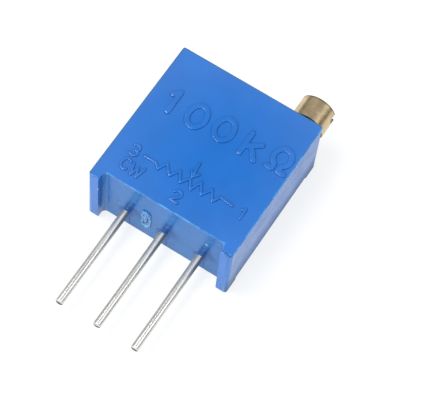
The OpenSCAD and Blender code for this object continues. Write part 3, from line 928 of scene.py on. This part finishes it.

# %% [markdown]
# A used case has a few knocks, most of them on the feet and at the corner by lead 1. They change
# the colour more than the shape, so each chip or scuff is a round spot in the material, at a
# listed place.

# %% Chips and scuffs
SCUFFED_BLUE = (0.03, 0.13, 0.42)
CHIP_PALE, CHIP_DARK = (0.30, 0.58, 0.88), (0.006, 0.05, 0.20)
SPECKS = [  # place and radius in millimetres, colour
    ((-4.05, -5.0, 3.55), 0.10, CHIP_PALE), ((-4.07, -4.75, 3.1), 0.16, CHIP_DARK),
    ((4.36, -4.92, 4.83), 0.13, SCUFFED_BLUE), ((4.53, -4.97, 4.81), 0.15, SCUFFED_BLUE),
    ((4.68, -4.86, 4.80), 0.15, SCUFFED_BLUE), ((4.60, -4.80, 4.83), 0.07, EDGE_HIGHLIGHT_BLUE),
    ((2.85, -4.39, 3.3), 0.10, CHIP_PALE),
    ((-3.08, -4.39, 2.17), 0.09, CHIP_DARK), ((-2.97, -4.39, 2.0), 0.05, CHIP_PALE)]
for centre, radius, colour in SPECKS:
    ball = spot(tree, where, [c * MM for c in centre], (radius * MM,) * 3)
    speck = ramp(tree, ball, [(0.0, 0.0), (0.4, 1.0)])
    recoloured(tree, shader, (speck,), plain_colour(tree, where, colour))
print("chips and scuffs:", len(SPECKS))

# %% [markdown]
# The flank of every raised stroke is painted darker than its top, as shade, and its height above
# the face is mask enough. Last come the orange-peel and the grain, one bump on the other.

# %% Painted shade on the strokes and the finest relief
above_face = levels(tree, where, "Z", TOP + 0.004 * MM, TOP + 0.012 * MM)
under_tops = levels(tree, where, "Z", TOP + 0.062 * MM, TOP + 0.045 * MM)
# Painted shade on the flanks of the strokes.
flank_shade = ramp(tree, under_tops, [(0.0, UNCHANGED), (1.0, (0.6, 0.62, 0.62))])
over(tree, shader, "MULTIPLY", above_face, flank_shade)
orange_peel = relief(tree, shader, noise(tree, where, 700, 2.0, seed=1.0), 0.08, 0.00003)
relief(tree, shader, noise(tree, where, 6500, seed=2.0), 0.10, 0.00001, orange_peel)
print("case plastic has", len(tree.nodes), "nodes")

# %% [markdown]
# The back cover is a similar plastic with a matt grain. Torn plastic is rough: pale on the ragged
# lip of the scar, and dark where the hook lies in its shade. The sealing resin is a darker and
# duller blue, and the painted shade beside the leads runs over it, so its gloss is first made an
# output that the shade can be laid over.

# %% Cover, torn plastic and resin
COVER_BLUE = (0.014, 0.135, 0.470)
cover_plastic, tree, shader, where = surface("cover_plastic", COVER_BLUE, 0.45)
varied(tree, shader, where, COVER_BLUE, 0.08, 300, 2.0)
worn(tree, shader, where, 0.38, 0.52, 2400)
relief(tree, shader, noise(tree, where, 18000), 0.25, 0.00001)

scar_plastic, tree, shader, where = surface("scar_plastic", SCAR_PALE, 0.4)
varied(tree, shader, where, SCAR_PALE, 0.5, 9000)
relief(tree, shader, noise(tree, where, 9000), 0.5, 0.00002)

# Painted shade: the hook is dark as the shade in a torn groove.
GROOVE_SHADE_BLUE = (0.008, 0.065, 0.26)
groove_shade_plastic, tree, shader, where = surface("groove_shade_plastic", GROOVE_SHADE_BLUE, 0.5)
varied(tree, shader, where, GROOVE_SHADE_BLUE, 0.3, 9000)
relief(tree, shader, noise(tree, where, 16000), 0.5, 0.00001)

RESIN = (0.006, 0.100, 0.360)
resin, tree, shader, where = surface("resin", RESIN, 0.4)
varied(tree, shader, where, RESIN, 0.15, 3000)
tree.links.new(plain_colour(tree, where, 0.4), shader.inputs["Specular IOR Level"])
# The painted shade beside the leads runs over the resin too.
shaded_beside_leads(tree, shader, where)
relief(tree, shader, noise(tree, where, 5000), 0.2, 0.00001)
print("plastics and resin made")

# %% [markdown]
# Tinned wire is drawn through a die, so its scratches run along it, and the tin is brighter in
# some places than in others. The noise is stretched along the wire for both. Near the case a
# highlight and a shade are painted along each wire: bright along one line and dark beside it. The
# three wires could have a surface each, but one ramp across the width of a wire serves them all,
# because X is wrapped at the pitch of the leads. The lower rim of the sheared ends is painted
# dark, as shade.

# %% Tinned wire
TIN = (0.68, 0.68, 0.65)
CUT_SHADE = (0.03, 0.03, 0.027)
PITCH = LEAD_X[1] - LEAD_X[2]
ALONG_Y = (1, 0.04, 1)


def painted_tin_light(tree, where):
    """The painted highlight and shade across the width of each wire."""
    local = tree.nodes.new("ShaderNodeMath")
    local.operation = "WRAP"
    tree.links.new(coordinate(tree, where, "X"), local.inputs[0])
    local.inputs[1].default_value = LEAD_X[2] + PITCH / 2
    local.inputs[2].default_value = LEAD_X[2] - PITCH / 2
    across = passage(tree, local.outputs["Value"], LEAD_X[2] - WIRE_R, LEAD_X[2] + WIRE_R)
    return ramp(tree, across, [
        (0.0, (0.46, 0.45, 0.40)), (0.30, (0.42, 0.41, 0.37)), (0.46, (0.56, 0.55, 0.50)),
        (0.56, (1.0, 1.0, 0.94)), (0.70, (0.96, 0.96, 0.90)), (0.77, (0.26, 0.25, 0.22)),
        (1.0, (0.28, 0.27, 0.24))])


tinned_wire, tree, shader, where = surface("tinned_wire", TIN, 0.2, metal=0.7)
varied(tree, shader, where, TIN, 0.12, 9000, stretch=ALONG_Y)
worn(tree, shader, where, 0.20, 0.32, 5000, ALONG_Y)
away = levels(tree, where, "Y", LEAD_FACE - 0.8 * MM, LEAD_FACE - 3.6 * MM)
even_tin = shader.inputs["Base Color"].links[0].from_socket
tree.links.new(mixed(tree, "MIX", away, painted_tin_light(tree, where), even_tin), shader.inputs["Base Color"])
tree.links.new(ramp(tree, away, [(0.0, 0.3), (1.0, 0.8)]), shader.inputs["Metallic"])
# Painted shade on the lower rim of the sheared ends.
at_cut = levels(tree, where, "Y", LEAD_END + 0.12 * MM, LEAD_END + 0.07 * MM)
underside = levels(tree, where, "Z", WIRE_Z + 0.02 * MM, WIRE_Z - 0.06 * MM)
recoloured(tree, shader, (at_cut, underside), plain_colour(tree, where, CUT_SHADE))
relief(tree, shader, noise(tree, where, 26000, stretch=ALONG_Y), 0.15, 0.000008)
print("tinned wire has", len(tree.nodes), "nodes, leads", round(PITCH / MM, 2), "mm apart")

# %% [markdown]
# Solder freezes in small grains, bright and dull by turns. A change of colour alone would
# look printed, so the roughness changes too, and more finely.

# %% Solder
SOLDER = (0.68, 0.69, 0.70)
solder, tree, shader, where = surface("solder", SOLDER, 0.3, metal=1.0)
varied(tree, shader, where, SOLDER, 0.12, 4200)
worn(tree, shader, where, 0.2, 0.42, 7000)
relief(tree, shader, noise(tree, where, 12000, 4.0), 0.3, 0.00001)
print("solder made")

# %% [markdown]
# The brass is turned, so the tool left rings round its axis, and handling left it patchy.
# Rings round an axis are a noise squeezed flat along that axis: it changes quickly along the screw
# and hardly at all round it. A dark band is painted just behind the end, as the dark reflection in
# its chamfer.

# %% Brass
BRASS = (0.60, 0.47, 0.285)
RIM_REFLECTION_DARK = (0.30, 0.27, 0.22)
ROUND_Y = (0.05, 1, 0.05)
screw_brass, tree, shader, where = surface("screw_brass", BRASS, 0.3, metal=1.0)
varied(tree, shader, where, BRASS, 0.16, 1500, 5.0)
near_end = levels(tree, where, "Y", screw_high.y - 0.30 * MM, screw_high.y)
# Painted reflection: a dark band at the chamfer of the end.
painted_rim_reflection = ramp(tree, near_end, [(0.0, UNCHANGED), (0.60, UNCHANGED), (0.74, RIM_REFLECTION_DARK),
                                (0.90, RIM_REFLECTION_DARK), (0.97, (0.8, 0.8, 0.8)), (1.0, UNCHANGED)])
over(tree, shader, "MULTIPLY", always(tree, where), painted_rim_reflection)
worn(tree, shader, where, 0.20, 0.36, 3600)
rings = relief(tree, shader, noise(tree, where, 14000, 2.0, ROUND_Y), 0.25, 0.00001)
relief(tree, shader, noise(tree, where, 9000, 4.0, seed=5.0), 0.12, 0.00001, rings)
print("brass has", len(tree.nodes), "nodes")

# %% [markdown]
# The three spring metals are rolled strip or drawn wire, so their scratches run one way too.
# They differ in colour, gloss and scale alone, so one loop makes them from a row of numbers
# each.

# %% Spring metals
metals = {}
for name, base, low, high, scale in (
        ("spring_steel", (0.60, 0.60, 0.58), 0.25, 0.4, 6000),
        ("spring_alloy", (0.66, 0.47, 0.25), 0.22, 0.38, 7000),
        ("contact_alloy", (0.78, 0.66, 0.42), 0.15, 0.3, 16000)):
    metals[name], tree, shader, where = surface(name, base, low, metal=1.0)
    varied(tree, shader, where, base, 0.1, scale / 3)
    worn(tree, shader, where, low, high, scale)
    relief(tree, shader, noise(tree, where, scale * 3, stretch=(1, 0.1, 1)), 0.2, 0.000006)
print("metals made:", sorted(metals))

# %% [markdown]
# The element is printed on a fired ceramic plate: a dark resistive track that is grainy with
# its glass, and silver leads to it. The wheel is a pale satin plastic and the seal is rubber.
# None of them is glossy, and a loop makes all five.

# %% Ceramic, films, wheel and rubber
dull = {}
for name, base, rough, metal, share, scale, bump in (
        ("ceramic", (0.86, 0.86, 0.82), 0.6, 0.0, 0.05, 9000, 0.35),
        ("cermet_film", (0.040, 0.036, 0.034), 0.42, 0.0, 0.5, 22000, 0.5),
        ("silver_film", (0.70, 0.69, 0.66), 0.5, 0.6, 0.15, 16000, 0.4),
        ("wheel_plastic", (0.80, 0.77, 0.68), 0.42, 0.0, 0.05, 1200, 0.15),
        ("seal_rubber", (0.018, 0.018, 0.019), 0.55, 0.0, 0.3, 6000, 0.3)):
    dull[name], tree, shader, where = surface(name, base, rough, metal)
    varied(tree, shader, where, base, share, scale)
    worn(tree, shader, where, rough - 0.08, rough + 0.08, scale * 1.5)
    relief(tree, shader, noise(tree, where, scale * 2), bump, 0.000008)
print("dull surfaces made:", sorted(dull))

# %% [markdown]
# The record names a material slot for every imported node, and each new piece was given one
# when it was made, so one loop dresses them all. The scar and the resin have surfaces of
# their own within the plastic of the case.


# %% Give every piece its surface
def wear(piece, material):
    """Give a piece one material and take away any other."""
    piece.data.materials.clear()
    piece.data.materials.append(material)


surfaces = {"case_plastic": case_plastic, "cover_plastic": cover_plastic,
            "tinned_wire": tinned_wire, "solder": solder, "screw_brass": screw_brass,
            **metals, **dull}
slot_of = {row["node"]: row["material_slot"] for row in frame["record"]["subparts"]}
for node, obj in nodes.items():
    wear(obj, surfaces[slot_of[node]])
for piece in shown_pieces():
    if "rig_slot" in piece:
        wear(piece, surfaces[piece["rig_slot"]])
wear(scar, scar_plastic)
wear(hook, groove_shade_plastic)
for seal in seals:
    wear(seal, resin)

# %% [markdown]
# ## Light
#
# The part lies on a white table in a pale room. The table is wide enough to be what the
# sides of the case and the flanks of the brass reflect. More lamps could make it white, but
# they would bleach the case too, so it glows a little instead, which also keeps the shadows
# faint. It lies a hair below the part, so that no two faces share a plane.

# %% Table
TABLE_WHITE = (0.29, 0.292, 0.295)  # the glow adds the rest
bpy.ops.object.select_all(action="DESELECT")
bpy.ops.mesh.primitive_plane_add(size=1.2, location=(0, 0, -0.02 * MM))
table = bpy.context.view_layer.objects.active
table.name = "table"
table_white, tree, shader, where = surface("table_white", TABLE_WHITE, 0.6)
shader.inputs["Emission Color"].default_value = (0.99, 1.0, 1.0, 1)
shader.inputs["Emission Strength"].default_value = 0.75
varied(tree, shader, where, TABLE_WHITE, 0.01, 60)
wear(table, table_white)
print("table", table.dimensions.x, "m wide")

# %% [markdown]
# Metal and glossy plastic show what is round them. A picture of a studio could be wrapped
# round the scene, but a ramp over height does as well here: the room is dimmer near the
# horizon, which draws the dark line along the screw's head.

# %% Room
world = bpy.data.worlds.new("room")
bpy.context.scene.world = world
world.use_nodes = True
tree = world.node_tree
direction = tree.nodes.new("ShaderNodeTexCoord")
height = coordinate(tree, direction.outputs["Generated"], "Z")
room = ramp(tree, height, [
    (0.0, (0.34, 0.34, 0.35)), (0.14, (0.25, 0.25, 0.26)), (0.31, (0.26, 0.26, 0.27)),
    (0.44, (0.54, 0.54, 0.55)), (0.80, (0.50, 0.50, 0.51)), (1.0, (0.46, 0.46, 0.47))])
background = tree.nodes["Background"]
tree.links.new(room, background.inputs["Color"])
background.inputs["Strength"].default_value = 1.0
print("room has", len(tree.nodes), "nodes")

# %% [markdown]
# Three soft lamps stand round the part: a key lamp high on the left, one low before the
# leads, and an oval one like a window on the side of the screw. A sun would be simpler, but
# its hard shadows would swallow the low relief of the marking.


# %% Lamps
def lamp(name, place, size, power, tint=(1, 1, 1), length=None):
    """A round lamp that faces the part, or an oval one when it is given a length."""
    light = bpy.data.lights.new(name, "AREA")
    light.shape = "ELLIPSE" if length else "DISK"
    light.size = size
    light.size_y = length or size
    light.energy = power
    light.color = tint
    obj = bpy.data.objects.new(name, light)
    bpy.context.scene.collection.objects.link(obj)
    obj.location = place
    obj.rotation_euler = (-Vector(place)).to_track_quat("-Z", "Y").to_euler()
    return obj


lamps = [
    lamp("key_lamp", (-0.175, -0.055, 0.465), 0.25, 1.25, (1.0, 0.995, 0.985)),
    lamp("front_lamp", (-0.05, -0.45, 0.21), 0.27, 0.87, (1.0, 0.995, 0.99)),
    lamp("window_lamp", (0.325, 0.125, 0.372), 0.165, 0.30, (0.99, 0.995, 1.0), length=0.32)]
bpy.context.scene.view_settings.view_transform = "Standard"
print("lamps:", [round(light.location.length, 2) for light in lamps], "m away")

# %% [markdown]

# %% Finish
import json
